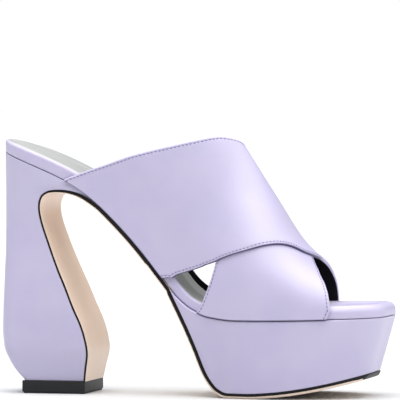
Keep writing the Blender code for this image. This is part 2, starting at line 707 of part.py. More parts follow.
def strap_lift(way_round):
    """How far the upper strap stands off the foot to pass over the lower one."""
    full = STRAP_THICKNESS - CROSSING_BITE
    return full * (1 - smooth_step((abs(way_round) - LIFT_FULL) / (LIFT_START - LIFT_FULL)))


def strap_mesh(name, table, lifted, material, start=-1.0, columns=STRAP_COLUMNS, sunk=0.0):
    """A strap with its real thickness, from its foot on one side, over the ridge, to its foot on the other.

    A sunk strap is thinner by that much at each face.
    """
    back = reader(table, "round", "back")
    front = reader(table, "round", "front")
    rings = []
    for column in range(columns + 1):
        way_round = start + (1 - start) * column / columns
        lift = strap_lift(way_round) if lifted else sunk
        under = []
        over = []
        for row in range(STRAP_ROWS + 1):
            x = back(way_round) + (front(way_round) - back(way_round)) * row / STRAP_ROWS
            x *= FOOTBED_LENGTH
            point = foot_surface(x, way_round)
            normal = surface_normal(x, way_round)
            under.append(point + normal * lift)
            over.append(point + normal * (lift + STRAP_THICKNESS - 2 * sunk))
        rings.append(under + over[::-1])
    return loft(name, rings, material, caps=("ladder", "ladder"))


def make_upper(material):
    """The two crossed straps, joined where they cross and by a low band at the inner side."""
    upper = strap_mesh("upper", UPPER_STRAP, True, material)
    lower = strap_mesh("lower_strap_form", LOWER_STRAP, False, material)
    foot = INNER_BAND["round"]
    band_rows = [{**INNER_BAND, "round": share} for share in (foot, 1.0)]
    band = strap_mesh("inner_band_form", band_rows, False, material, foot, BAND_COLUMNS, BAND_SINK)
    for form in (lower, band):
        joined = upper.modifiers.new("join " + form.name, "BOOLEAN")
        joined.operation = "UNION"
        joined.object = form
        form.hide_render = True
        form.display_type = "WIRE"
    return upper


def main():
    for item in list(bpy.data.objects):
        bpy.data.objects.remove(item)
    lilac = finish("lilac leather", (0.53, 0.49, 0.70), 0.45)
    sole_leather = finish("tan sole leather", (0.62, 0.44, 0.30), 0.5)
    silver = finish("silver sock leather", (0.62, 0.63, 0.64), 0.35, 0.8)
    black = finish("black rubber", (0.02, 0.02, 0.022), 0.4)
    path, heel_tip, platform_tip = sole_path()
    normals = path_normals(path)
    make_top_lift(black, path)
    make_heel(lilac, path, normals, heel_tip)
    make_outsole(sole_leather, path, normals, heel_tip, platform_tip)
    make_platform(lilac, path, normals, platform_tip)
    make_footbed(lilac)
    make_sock(silver)
    make_upper(lilac)
    pieces = [item for item in bpy.data.objects if item.type == "MESH"]
    corners = [vertex.co for piece in pieces for vertex in piece.data.vertices]
    middle_x = (min(c.x for c in corners) + max(c.x for c in corners)) / 2
    middle_y = (min(c.y for c in corners) + max(c.y for c in corners)) / 2
    for piece in pieces:
        piece.data.transform(Matrix.Translation((-middle_x, -middle_y, 0)))


main()
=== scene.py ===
import math

import bmesh
import bpy
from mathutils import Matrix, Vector


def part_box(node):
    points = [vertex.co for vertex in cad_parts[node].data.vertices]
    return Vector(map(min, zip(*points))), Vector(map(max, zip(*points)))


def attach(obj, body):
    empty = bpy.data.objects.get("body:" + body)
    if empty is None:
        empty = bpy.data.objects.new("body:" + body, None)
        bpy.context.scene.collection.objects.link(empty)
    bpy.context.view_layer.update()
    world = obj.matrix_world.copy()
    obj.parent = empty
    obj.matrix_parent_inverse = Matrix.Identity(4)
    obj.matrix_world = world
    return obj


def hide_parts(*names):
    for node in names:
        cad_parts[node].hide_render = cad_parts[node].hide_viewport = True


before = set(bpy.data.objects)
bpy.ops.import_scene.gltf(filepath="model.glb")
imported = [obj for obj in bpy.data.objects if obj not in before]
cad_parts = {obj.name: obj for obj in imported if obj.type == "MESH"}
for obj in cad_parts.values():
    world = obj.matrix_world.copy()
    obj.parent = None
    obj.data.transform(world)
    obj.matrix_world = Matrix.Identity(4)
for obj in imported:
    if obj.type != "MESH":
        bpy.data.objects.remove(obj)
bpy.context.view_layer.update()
print("frame loaded")


# Shader maths


class Socket:
    # One output of a node. Arithmetic on it adds Math nodes to its graph.
    def __init__(self, graph, output):
        self.graph = graph
        self.output = output

    def maths(self, operation, first, second):
        return self.graph.node("Math", {"operation": operation}, {0: first, 1: second})

    def __add__(self, other):
        return self.maths("ADD", self, other)

    def __mul__(self, other):
        return self.maths("MULTIPLY", self, other)

    def __sub__(self, other):
        return self.maths("SUBTRACT", self, other)

    def __rsub__(self, other):
        return self.maths("SUBTRACT", other, self)

    def __mod__(self, other):
        return self.maths("FLOORED_MODULO", self, other)

    def __rmod__(self, other):
        return self.maths("FLOORED_MODULO", other, self)

    __radd__ = __add__
    __rmul__ = __mul__


class Graph:
    # The nodes of a material or of the world.
    def __init__(self, owner, shader):
        owner.use_nodes = True
        self.owner = owner
        self.tree = owner.node_tree
        self.surface = self.tree.nodes[shader]

    def node(self, kind, settings=None, values=None, output=0):
        made = self.tree.nodes.new("ShaderNode" + kind)
        for name, value in (settings or {}).items():
            setattr(made, name, value)
        for name, value in (values or {}).items():
            self.feed(made.inputs[name], value)
        return Socket(self, made.outputs[output])

    def feed(self, target, value):
        if isinstance(value, Socket):
            self.tree.links.new(value.output, target)
        else:
            target.default_value = value

    def distance(self, value, target):
        return self.node("Math", {"operation": "ABSOLUTE"}, {0: value - target})

    def atLeast(self, value, least):
        return self.node("Math", {"operation": "MAXIMUM"}, {0: value, 1: least})

    def set(self, **values):
        for name, value in values.items():
            self.feed(self.surface.inputs[name.replace("_", " ")], value)


class Finish(Graph):
    # A material that is being put together.
    def __init__(self, name):
        super().__init__(bpy.data.materials.new(name), "Principled BSDF")
        self.material = self.owner

    def place(self):  # metres, in the frame
        return self.node("TexCoord", output="Object")

    def stretched(self, shares):  # the same place, drawn out along the axes whose share is small
        return self.node("VectorMath", {"operation": "MULTIPLY"}, {0: self.place(), 1: shares})

    def noise(self, size, detail=2.0, place=None):  # size of its patches, in metres
        values = {"Vector": place or self.place(), "Scale": 1 / size, "Detail": detail, "Roughness": 0.55}
        return self.node("TexNoise", {}, values)

    def cells(self, size):  # soft-edged cells
        values = {"Vector": self.place(), "Scale": 1 / size}
        return self.node("TexVoronoi", {"feature": "SMOOTH_F1"}, values)

    def ease(self, value, low, high, start=0.0, end=1.0):  # an S curve from start at low to end at high
        values = {"Value": value, "From Min": low, "From Max": high, "To Min": start, "To Max": end}
        return self.node("MapRange", {"interpolation_type": "SMOOTHSTEP"}, values)

    def tint(self, share, first, second):  # the first colour where share is 0, the second where it is 1
        return self.node("Mix", {"data_type": "RGBA"}, {0: share, 6: first, 7: second}, 2)

    def stored(self, name):  # a value that the mesh keeps at its points
        return self.node("Attribute", {"attribute_name": name}, {}, "Fac")

    def bump(self, height, depth, strength=1.0):
        values = {"Height": height, "Distance": depth, "Strength": strength}
        self.set(Normal=self.node("Bump", {}, values))


def colour(red, green, blue):  # from the 0 to 255 values of a screen colour
    def linear(value):
        share = value / 255
        return share / 12.92 if share <= 0.04045 else ((share + 0.055) / 1.055) ** 2.4

    return (linear(red), linear(green), linear(blue), 1.0)


# Finishes

stitching = {
    "inset": 0.0017,  # from the strap's edge
    "pitch": 0.0022,
    "length": 0.0014,
    "radius": 0.00024,
    "sections": (-1, -0.85, -0.45, 0, 0.45, 0.85, 1),  # along half a stitch's length, from its middle
    "sides": 8,
    "tip": 0.04,  # square of the width share at a stitch's ends
    "stand": 0.55,  # how high its middle stands, in radii,
    "dip": 0.9,  # and how far its ends dip into the leather
    "colour": colour(118, 110, 146),
    "twist": 700.0,
    "twistDepth": 0.00004,
    "pressed": (0.0001, 0.00045),  # where the painted shade in the stitches' furrow starts and ends to fade,
    "holeShade": (0.0001, 0.0004),  # and the same for the painted shade of the needle's holes
    # strengths of the painted shade in the furrow and in the needle holes
    "pressedStain": 0.08,
    "holeShadeStrength": 0.3,
}
leather = {
    "colour": colour(187, 181, 208),
    # colour of the painted shade in the stitch furrow and the needle holes
    "deep": colour(182, 176, 206),
    "stitchShade": colour(120, 110, 160),
    "rim": colour(62, 54, 96),  # dark edge paint with painted shadow, under the upper strap's edge where it lies over the lower one, and painted contact shadow along the straps' feet
    "patch": 0.03,  # size of its deeper patches
    "patchRange": (0.35, 0.7),
    "grain": 0.0011,
    "grainDepth": 0.00004,
    "poreShare": 0.3,  # of the grain's height
    "roughness": 0.40,
    "patchRoughness": 0.08,
    "poreGloss": 0.04,
    "coat": 0.12,
    "coatRoughness": 0.3,
}


def leatherFinish(name, stitched=False):
    made = Finish(name)
    patches = made.noise(leather["patch"], 3.0)
    base = made.tint(made.ease(patches, *leather["patchRange"]), leather["colour"], leather["deep"])
    pebble = made.cells(leather["grain"])
    pores = made.noise(leather["grain"] / 4)
    height = pebble * (1 - leather["poreShare"]) + pores * leather["poreShare"]
    if stitched:
        edge = made.stored("edge")
        # painted shade along the stitches' furrow and in the needle holes
        line = 1 - made.ease(made.distance(edge, stitching["inset"]), *stitching["pressed"])
        between = made.distance(made.stored("along") % stitching["pitch"], 0.0)
        holeShade = 1 - made.ease(between, *stitching["holeShade"])
        stitchShade = line * stitching["pressedStain"] + line * holeShade * stitching["holeShadeStrength"]
        base = made.tint(stitchShade, base, leather["stitchShade"])
        # edge paint and painted shadow under the upper strap's front edge, and painted contact shadow along
        # the straps' feet
        base = made.tint(made.stored("shaded"), base, leather["rim"])
    roughness = leather["roughness"] + patches * leather["patchRoughness"] - pores * leather["poreGloss"]
    made.set(Base_Color=base, Roughness=roughness)
    made.set(Coat_Weight=leather["coat"], Coat_Roughness=leather["coatRoughness"])
    made.bump(height, leather["grainDepth"])
    return made.material


def threadFinish():
    made = Finish("lilac_thread")
    values = {"Vector": made.place(), "Scale": stitching["twist"]}
    twist = made.node("TexWave", {"bands_direction": "DIAGONAL"}, values)
    made.set(Base_Color=stitching["colour"], Roughness=made.ease(twist, 0, 1, 0.5, 0.65))
    made.bump(twist, stitching["twistDepth"])
    return made.material


lining = {
    "colour": colour(12, 11, 15),
    "dust": colour(24, 22, 29),
    "nap": 0.0006,
    "napDepth": 0.00004,
    "cloud": 0.012,
    "roughness": 0.7,
}


def liningFinish():
    made = Finish("black_lining")
    nap = made.noise(lining["nap"], 3.0)
    cloud = made.noise(lining["cloud"])
    made.set(Base_Color=made.tint(nap * 0.5 + cloud * 0.4, lining["colour"], lining["dust"]))
    made.set(Roughness=lining["roughness"] + nap * 0.2, Specular_IOR_Level=0.2)
    made.bump(nap, lining["napDepth"])
    return made.material


silver = {
    "colour": colour(192, 194, 193),
    "shade": colour(168, 170, 169),
    "streak": 0.0035,
    "drawnOut": (0.08, 1.0, 0.08),  # the streaks run along the foot
    "streakRange": (0.3, 0.7),
    "crackle": 0.0009,
    "crackleDepth": 0.00005,
    "metallic": 0.55,
    "roughness": 0.45,
    "streakRoughness": 0.12,
}


def silverFinish():
    made = Finish("silver_leather")
    streaks = made.noise(silver["streak"], 3.0, made.stretched(silver["drawnOut"]))
    shade = made.ease(streaks, *silver["streakRange"])
    made.set(Base_Color=made.tint(shade, silver["colour"], silver["shade"]), Metallic=silver["metallic"])
    made.set(Roughness=silver["roughness"] + streaks * silver["streakRoughness"])
    made.bump(made.cells(silver["crackle"]), silver["crackleDepth"])
    return made.material


sole = {
    "tan": colour(236, 218, 203),
    "fibreColour": colour(222, 197, 175),
    "fibre": 0.0012,
    "fibreDepth": 0.00003,
    "drawnOut": (0.25, 1.0, 0.25),
    "cloud": 0.02,
    "roughness": 0.38,
    "coat": 0.1,
    "paint": colour(12, 11, 14),
    "paintRoughness": 0.42,
    "drag": 0.0008,  # marks of the paint brush
    "dragDepth": 0.00003,
}


def soleFinish():
    made = Finish("tan_sole_leather")
    fibres = made.noise(sole["fibre"], 4.0, made.stretched(sole["drawnOut"]))
    cloud = made.noise(sole["cloud"])
    made.set(Base_Color=made.tint(fibres * 0.45 + cloud * 0.3, sole["tan"], sole["fibreColour"]))
    made.set(Roughness=sole["roughness"] + fibres * 0.15, Coat_Weight=sole["coat"], Coat_Roughness=0.3)
    made.bump(fibres, sole["fibreDepth"])
    return made.material


def edgePaintFinish():
    made = Finish("black_edge_paint")
    drag = made.noise(sole["drag"])
    made.set(Base_Color=sole["paint"], Roughness=sole["paintRoughness"] + drag * 0.14)
    made.set(Specular_IOR_Level=0.25)
    made.bump(drag, sole["dragDepth"])
    return made.material


rubber = {
    "colour": colour(22, 23, 25),
    "dust": colour(33, 34, 36),
    "pit": 0.0005,
    "pitDepth": 0.00004,
    "cloud": 0.01,
    "roughness": 0.42,
}


def rubberFinish():
    made = Finish("black_rubber")
    pits = made.noise(rubber["pit"])
    cloud = made.noise(rubber["cloud"])
    made.set(Base_Color=made.tint(cloud * 0.6, rubber["colour"], rubber["dust"]))
    made.set(Roughness=rubber["roughness"] + pits * 0.12, Specular_IOR_Level=0.4)
    made.bump(pits, rubber["pitDepth"])
    return made.material


smoothLeather = leatherFinish("lilac_leather")
stitchedLeather = leatherFinish("lilac_strap_leather", True)
thread = threadFinish()
blackLining = liningFinish()
silverLeather = silverFinish()
tanLeather = soleFinish()
edgePaint = edgePaintFinish()
blackRubber = rubberFinish()
print("finishes made")


# The last. Shapes are worked out with the heel's back at x = 0 and the heel's middle at y = 0.

shoe = {
    "length": 0.2195,  # heel to toe, seen from above
    "ball": 0.078,
    "seat": 0.049,  # width of the heel seat
    "heelHeight": 0.1349,  # floor to the underside of the footbed, at the back
    "platformHeight": 0.04295,
    "toeRise": 0.00185,
    "toeRiseStart": 0.62,
    "clearance": 0.0003,
}


def table(columns, *rows):
    names = columns.split()
    return [dict(zip(names, row)) for row in rows]


seatLine = table(
    "along fall",
    (0.000, 0.000), (0.088, 0.076), (0.178, 0.170), (0.223, 0.232), (0.269, 0.317), (0.322, 0.441),
    (0.381, 0.596), (0.433, 0.750), (0.475, 0.869), (0.516, 0.941), (0.567, 0.984), (0.639, 1.000),
    (1.000, 1.000),
)
outlineTable = table(  # seat: share of half the heel seat. outer and inner: shares of the ball's width
    "along seat outer inner",
    (0.00, 1.00, 0.000, 0.000), (0.18, 0.98, 0.000, 0.000), (0.27, 0.50, 0.140, 0.098),
    (0.36, 0.00, 0.282, 0.190), (0.43, 0.00, 0.286, 0.165), (0.50, 0.00, 0.328, 0.215),
    (0.57, 0.00, 0.397, 0.335), (0.64, 0.00, 0.460, 0.433), (0.71, 0.00, 0.490, 0.487),
    (0.79, 0.00, 0.486, 0.500), (0.87, 0.00, 0.451, 0.478), (0.94, 0.00, 0.397, 0.415),
    (1.00, 0.00, 0.340, 0.345),
)
heelRound = {"span": 0.1244, "power": 2.1}
toeRound = {"span": 0.20, "power": 5.0}
sockRound = {"span": 0.16, "power": 2.6}
toeMiddle = {"share": 0.045, "start": 0.7}
paddingTable = table("along share", (0.0, 1.0), (0.30, 0.96), (0.50, 0.78), (0.72, 1.0), (1.0, 1.0))


def smoothStep(share):
    share = min(max(share, 0.0), 1.0)
    return share * share * (3 - 2 * share)


def reader(rows, across, column):  # a smooth curve through one column, without overshoot
    xs = [row[across] for row in rows]
    ys = [row[column] for row in rows]
    slopes = [(ys[i + 1] - ys[i]) / (xs[i + 1] - xs[i]) for i in range(len(xs) - 1)]
    tangents = [slopes[0]]
    for before, after in zip(slopes, slopes[1:]):
        sameWay = before * after > 0
        tangents.append(2 * before * after / (before + after) if sameWay else 0.0)
    tangents.append(slopes[-1])

    def read(x):
        if x <= xs[0]:
            return ys[0]
        if x >= xs[-1]:
            return ys[-1]
        i = next(k for k in range(len(xs) - 1) if x <= xs[k + 1])
        step = xs[i + 1] - xs[i]
        t = (x - xs[i]) / step
        start = (1 + 2 * t) * (1 - t) ** 2 * ys[i] + t * (1 - t) ** 2 * step * tangents[i]
        end = t * t * (3 - 2 * t) * ys[i + 1] - t * t * (1 - t) * step * tangents[i + 1]
        return start + end

    return read


def through(points, steps):  # a rounded line through points
    ends = [2 * points[0] - points[1], *points, 2 * points[-1] - points[-2]]
    line = []
    for i in range(1, len(ends) - 2):
        before, start, end, after = ends[i - 1 : i + 3]
        for k in range(steps):
            t = k / steps
            bend = 2 * start + (end - before) * t
            bend += (2 * before - 5 * start + 4 * end - after) * t**2
            bend += (3 * start - before - 3 * end + after) * t**3
            line.append(bend / 2)
    return [*line, points[-1]]


seatFall = reader(seatLine, "along", "fall")
outlineSeat = reader(outlineTable, "along", "seat")
outlineOuter = reader(outlineTable, "along", "outer")
outlineInner = reader(outlineTable, "along", "inner")
paddingShare = reader(paddingTable, "along", "share")


def seatHeight(x):  # of the footbed's underside
    along = x / shoe["length"]
    drop = seatFall(along) * (shoe["heelHeight"] - shoe["platformHeight"])
    start = shoe["toeRiseStart"]
    rise = smoothStep((along - start) / (1 - start) / 2) * 2 * shoe["toeRise"]  # the curve's first half
    return shoe["heelHeight"] - drop + rise


def seatNormal(x):  # square to the footbed, turned upright at the back end of the heel
    step = shoe["length"] / 400
    slope = (seatHeight(x + step) - seatHeight(x - step)) / (2 * step)
    slope *= smoothStep(x / (shoe["seat"] / 2))
    return Vector((-slope, 0, 1)).normalized()


def onSeat(x, y, height):
    return Vector((x, y, seatHeight(x))) + seatNormal(x) * height


def endShare(x, length, toeEnd):  # how much of its width the outline keeps at x
    share = 1.0
    heelSpan = heelRound["span"] * shoe["length"]
    toeSpan = toeEnd["span"] * shoe["length"]
    if x < heelSpan:
        reach = min((heelSpan - x) / heelSpan, 1.0)
        share = (1 - reach ** heelRound["power"]) ** (1 / heelRound["power"])
    if x > length - toeSpan:
        reach = min((x - length + toeSpan) / toeSpan, 1.0)
        share = (1 - reach ** toeEnd["power"]) ** (1 / toeEnd["power"])
    return share


def outline(x, margin=0.0, rounded=True, length=shoe["length"], toeEnd=toeRound):
    # y of the footbed's outer and inner side
    along = x / shoe["length"]
    seat = outlineSeat(along) * shoe["seat"] / 2
    start = toeMiddle["start"]
    middle = toeMiddle["share"] * shoe["ball"] * smoothStep((along - start) / (1 - start))
    outer = -(seat + outlineOuter(along) * shoe["ball"] + margin)
    inner = seat + outlineInner(along) * shoe["ball"] + margin
    share = endShare(x, length, toeEnd) if rounded else 1.0
    return middle + (outer - middle) * share, middle + (inner - middle) * share


def endStations(span, power, steps):  # distances from a rounded end, from the side to the very end
    stations = []
    for k in range(steps + 1):
        angle = math.pi / 2 * k / steps
        reach = (math.cos(angle) ** power + math.sin(angle) ** power) ** (-1 / power)
        stations.append(span * (1 - min(reach * math.sin(angle), 1.0)))
    return stations


def longStations(start, middleSteps, endSteps, length=shoe["length"], toeEnd=toeRound):
    toeSpan = toeEnd["span"] * shoe["length"]
    turn = length - toeSpan
    middle = [start + (turn - start) * k / middleSteps for k in range(middleSteps)]
    return middle + [length - d for d in endStations(toeSpan, toeEnd["power"], endSteps)]


# Meshes

liftLow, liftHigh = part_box("top_lift")
breastThickness = 0.0011  # of the solid sheet, which ends flush with the top lift's front
breastFoot = 0.2246 * shoe["length"]  # front of the heel where it meets the top lift
shift = Vector((liftHigh.x - breastFoot - breastThickness, (liftLow.y + liftHigh.y) / 2, 0))
sameSpot = 0.0000002  # points closer than this are one


def finishPiece(mesh, name, materials, node, sharp=50):
    bmesh.ops.remove_doubles(mesh, verts=mesh.verts, dist=sameSpot)
    bmesh.ops.recalc_face_normals(mesh, faces=mesh.faces)
    bmesh.ops.translate(mesh, verts=mesh.verts, vec=shift)
    data = bpy.data.meshes.new(name)
    mesh.to_mesh(data)
    mesh.free()
    data.shade_smooth()
    data.set_sharp_from_angle(angle=math.radians(sharp))
    for material in materials:
        data.materials.append(material)
    piece = bpy.data.objects.new(name, data)
    bpy.context.scene.collection.objects.link(piece)
    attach(piece, "root")
    if node:
        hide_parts(node)
    return piece


def wrap(mesh, rings, slotOf=None):  # faces between rings of points, one ring after the other
    made = [[mesh.verts.new(point) for point in ring] for ring in rings]
    count = len(made[0])
    for k, (ring, following) in enumerate(zip(made, made[1:])):
        for i in range(count):
            after = (i + 1) % count
            face = mesh.faces.new((ring[i], ring[after], following[after], following[i]))
            face.material_index = slotOf(k, i) if slotOf else 0
    return made


def inLine(first, second, third):
    return (second.co - first.co).cross(third.co - first.co).length < sameSpot**2


def closeEnds(mesh, made, turned=0, slot=0):
    # Strips across the first and the last ring, from one side to the other. turned is 1 where a ring starts
    # with the point at its end, and 0 where its first and last points are a pair.
    count = len(made[0])
    for ring in (made[0], made[-1]):
        for i in range(count // 2):
            facing = [ring[(count - k - i + turned) % count] for k in (2, 1)]
            corners = list(dict.fromkeys([ring[i], ring[i + 1], *facing]))
            if len(corners) == 4 or (len(corners) == 3 and not inLine(*corners)):
                mesh.faces.new(corners).material_index = slot


def outlineLoop(level, length, toeEnd, steps):
    # Points round the footbed's outline, with the height and inset that the level has at each:
    # outer side from heel to toe, inner side back again.
    heelSpan = heelRound["span"] * shoe["length"]
    stations = endStations(heelSpan, heelRound["power"], steps["heel"])[:0:-1]
    stations += longStations(heelSpan, steps["middle"], steps["toe"], length, toeEnd)
    outer = [Vector((x, outline(x, 0, True, length, toeEnd)[0])) for x in stations]
    inner = [Vector((x, outline(x, 0, True, length, toeEnd)[1])) for x in stations]
    loop = outer + inner[-2:0:-1]
    moved = []
    for k, point in enumerate(loop):
        along = (loop[(k + 1) % len(loop)] - point).normalized() + (point - loop[k - 1]).normalized()
        along.normalize()
        height, inset = level(point.x)
        pressed = (1 - paddingShare(point.x / shoe["length"])) * min(height, footbed["thickness"])
        x, y = point + Vector((-along.y, along.x)) * inset
        moved.append(onSeat(x, y, height - pressed))
    return moved


def paddedMesh(levels, length, toeEnd, steps):
    mesh = bmesh.new()
    made = wrap(mesh, [outlineLoop(level, length, toeEnd, steps) for level in levels])
    closeEnds(mesh, made, 1)
    return mesh


# Footbed and sock

footbed = {
    "thickness": 0.0072,
    "rounding": 0.002,  # of the padded rim's upper edge
    "toeRounding": 0.0044,  # of the same edge at the open toe
    "roundingGrows": (0.78, 0.92),
    "foot": 0.0008,  # roundness of its lower edge
    "seat": 0.0005,  # how deep the sock's seat is
    "seatSlope": 0.0004,
    "steps": {"heel": 20, "middle": 70, "toe": 28},
}


def rimRounding(x):
    start, end = footbed["roundingGrows"]
    growth = smoothStep((x / shoe["length"] - start) / (end - start))
    return footbed["rounding"] + (footbed["toeRounding"] - footbed["rounding"]) * growth


def footLevel(degrees):
    turn = math.radians(degrees)
    foot = footbed["foot"]
    return lambda x: (foot * (1 - math.cos(turn)), foot * (1 - math.sin(turn)))


def wallLevel(share):
    foot = footbed["foot"]
    return lambda x: (foot + (footbed["thickness"] - rimRounding(x) - foot) * share, 0.0)


def roundLevel(degrees):
    rise = 1 - math.sin(math.radians(degrees))
    inset = 1 - math.cos(math.radians(degrees))
    return lambda x: (footbed["thickness"] - rimRounding(x) * rise, rimRounding(x) * inset)


def seatLevel(share):  # from the rim's top down to the shallow seat of the sock
    height = footbed["thickness"] - footbed["seat"] * smoothStep(share)
    return lambda x: (height, rimRounding(x) + footbed["seatSlope"] * share)


def makeFootbed():
    levels = [footLevel(degrees) for degrees in (0, 30, 60, 90)]
    levels += [wallLevel(share) for share in (0.4, 0.8)]
    levels += [roundLevel(degrees) for degrees in range(0, 91, 10)]
    levels += [seatLevel(share) for share in (0.3, 0.7, 1.0)]
    mesh = paddedMesh(levels, shoe["length"], toeRound, footbed["steps"])
    piece = finishPiece(mesh, "padded_footbed", [smoothLeather], "footbed")


sock = {
    "length": 0.186,
    "thickness": 0.0006,
    "margin": 0.0014,  # left free of the footbed's edge
    "steps": {"heel": 20, "middle": 60, "toe": 20},
}


def sockLevel(degrees):
    turn = math.radians(degrees)
    height = footbed["thickness"] - footbed["seat"] + sock["thickness"] * math.sin(turn)
    return lambda x: (height, sock["margin"] + sock["thickness"] * (1 - math.cos(turn)))


def makeSock():
    levels = [sockLevel(degrees) for degrees in (0, 25, 50, 70, 90)]
    mesh = paddedMesh(levels, sock["length"], sockRound, sock["steps"])
    finishPiece(mesh, "silver_sock", [silverLeather], "sock")


makeFootbed()
makeSock()
print("footbed and sock made")


# Sole: the line of the outsole as seen from the side, from the top lift, over the arch, to the toe

outsole = {
    "thickness": 0.0029,
    "arch": 0.0027,
    "breast": 0.0013,
    "bevel": 0.0013,
    "archBevel": 0.0007,
    "breastBevel": 0.0002,
    "tipLength": 0.0045,  # the sheet thins out at its front end,
    "tipThin": 0.8,  # by this share
    "fringeEnd": (0.92, 0.98),  # where the tan bevel runs out towards the toe
    "weltEnd": (0.82, 0.95),
    "thickens": 0.72,  # share of the heel's front, from its foot, above which the sheet is thicker
    "widens": 0.55,  # shares of the heel's front tip, beyond which it widens to the welt
    "height": 0.7,
    "outline": 0.8,  # share of the same tip, behind which it doesn't follow the footbed's outline
    "fills": 0.3,  # share of the platform's back from which it is thicker again
    "welt": 0.002,  # how far it stands out past the footbed
    "taper": 0.0022,  # how far each side of the platform leans in towards the floor
    "toeSlant": 0.0085,
    "toeSpring": 0.0110,
    "springPower": 1.73,
    "treadStart": 0.622,
    "treadEnd": 0.662,
    "archTop": 0.158,  # station of the arch's top,
    "archClearance": 0.0079,  # and how far that lies under the footbed
    "joinsSeat": 0.270,
    "leavesSeat": 0.4565,
    "gap": 0.3,  # left between the sheet and what it covers, as a share of the clearance
    "steps": 8,
    "seatRows": 5,
    "springRows": 24,
    "toeRows": 26,
    "across": 6,
}
breastLine = table(
    "rise along",
    (0.000, 0.2246), (0.070, 0.2304), (0.150, 0.2368), (0.225, 0.2313), (0.300, 0.2197), (0.390, 0.2001),
    (0.490, 0.1800), (0.590, 0.1585), (0.710, 0.1354), (0.830, 0.1150), (0.910, 0.1090), (0.965, 0.1160),
    (0.992, 0.1334), (1.000, 0.1587), (0.997, 0.1904), (0.976, 0.2269),
)
platformBack = table(
    "forward down",
    (0.058, 0.070), (0.279, 0.343), (0.446, 0.565), (0.611, 0.801), (0.752, 0.928), (0.862, 0.979),
    (0.935, 0.996),
)
liftHeight = 0.0072


def platformTopX(x, start):  # on the platform's upper edge, over the point of its underside at x
    end = shoe["length"] - outsole["toeSlant"]
    return start + (x - start) * (shoe["length"] - start) / (end - start)


def platformUnderX(xTop, start):
    end = shoe["length"] - outsole["toeSlant"]
    return start + (xTop - start) * (end - start) / (shoe["length"] - start)


def solePath():
    length = shoe["length"]
    archTop = seatHeight(outsole["archTop"] * length) - outsole["archClearance"]
    rise = archTop - liftHeight
    breast = [Vector((row["along"] * length, 0, liftHeight + row["rise"] * rise)) for row in breastLine]
    joins, leaves = outsole["joinsSeat"], outsole["leavesSeat"]
    rows = outsole["seatRows"]
    seatShares = [joins + (leaves - joins) * k / rows for k in range(rows + 1)]
    seat = [onSeat(share * length, 0, -shoe["clearance"]) for share in seatShares]
    corner = seat[-1]
    run = outsole["treadStart"] * length - corner.x
    drop = corner.z - outsole["thickness"]
    back = [corner + Vector((row["forward"] * run, 0, -row["down"] * drop)) for row in platformBack]
    treadStart, treadEnd = outsole["treadStart"], outsole["treadEnd"]
    tread = [
        Vector(((treadStart + share * (treadEnd - treadStart)) * length, 0, outsole["thickness"]))
        for share in (0.0, 0.5, 1.0)
    ]
    steps = outsole["steps"]
    heelTip = len(breast) * steps
    platformTip = heelTip + (len(seat) - 1) * steps
    path = through(breast + seat + back + tread, steps)
    for point in path[platformTip:]:
        point.z = max(point.z, outsole["thickness"])
    springStart = path[-1].x
    toeEnd = length - outsole["toeSlant"]
    topStart = platformTopX(springStart, corner.x)
    for xTop in longStations(topStart, outsole["springRows"], outsole["toeRows"])[1:]:
        x = platformUnderX(xTop, corner.x)
        share = (x - springStart) / (toeEnd - springStart)
        spring = outsole["toeSpring"] * share ** outsole["springPower"]
        path.append(Vector((x, 0, outsole["thickness"] + spring)))
    return path, heelTip, platformTip


def pathNormals(points):
    normals = []
    for k, point in enumerate(points):
        along = points[min(k + 1, len(points) - 1)] - points[max(k - 1, 0)]
        onTread = point.z <= outsole["thickness"]
        normals.append(Vector((0, 0, -1)) if onTread else Vector((along.z, 0, -along.x)).normalized())
    return normals


heelTable = table(
    "height back width corner power",
    (0.054, 0.0630, 0.810, 0.09, 3.0), (0.075, 0.0485, 0.850, 0.12, 3.0), (0.105, 0.0325, 0.890, 0.16, 3.0),
    (0.145, 0.0182, 0.950, 0.19, 3.0), (0.190, 0.0074, 1.005, 0.21, 3.0), (0.270, 0.0032, 1.035, 0.22, 2.9),
    (0.340, 0.0044, 1.050, 0.23, 2.9), (0.420, 0.0052, 1.025, 0.24, 2.8), (0.500, 0.0056, 0.990, 0.26, 2.7),
    (0.560, 0.0058, 0.955, 0.28, 2.6), (0.645, 0.0048, 0.910, 0.32, 2.5), (0.700, 0.0038, 0.900, 0.36, 2.4),
    (0.820, 0.0022, 0.940, 0.45, 2.2), (1.000, 0.0000, 1.050, 0.55, 2.1),
)
heel = {"width": 0.0466, "levelEnd": 0.69, "fan": 1.5, "sideSteps": 16, "cornerSteps": 18}
heelBack = reader(heelTable, "height", "back")
heelWidth = reader(heelTable, "height", "width")
heelCorner = reader(heelTable, "height", "corner")
heelPower = reader(heelTable, "height", "power")


def heelHalf(z):
    return heelWidth(z / shoe["heelHeight"]) * heel["width"] / 2


def platformSides(xTop, depth, level):
    along = xTop / shoe["length"]
    start, end = outsole["weltEnd"]
    margin = outsole["welt"] * (1 - smoothStep((along - start) / (end - start)))
    taper = outsole["taper"] * (1 - level) * min(depth / shoe["platformHeight"], 1)
    return outline(xTop, margin - taper)


path, heelTip, platformTip = solePath()
normals = pathNormals(path)


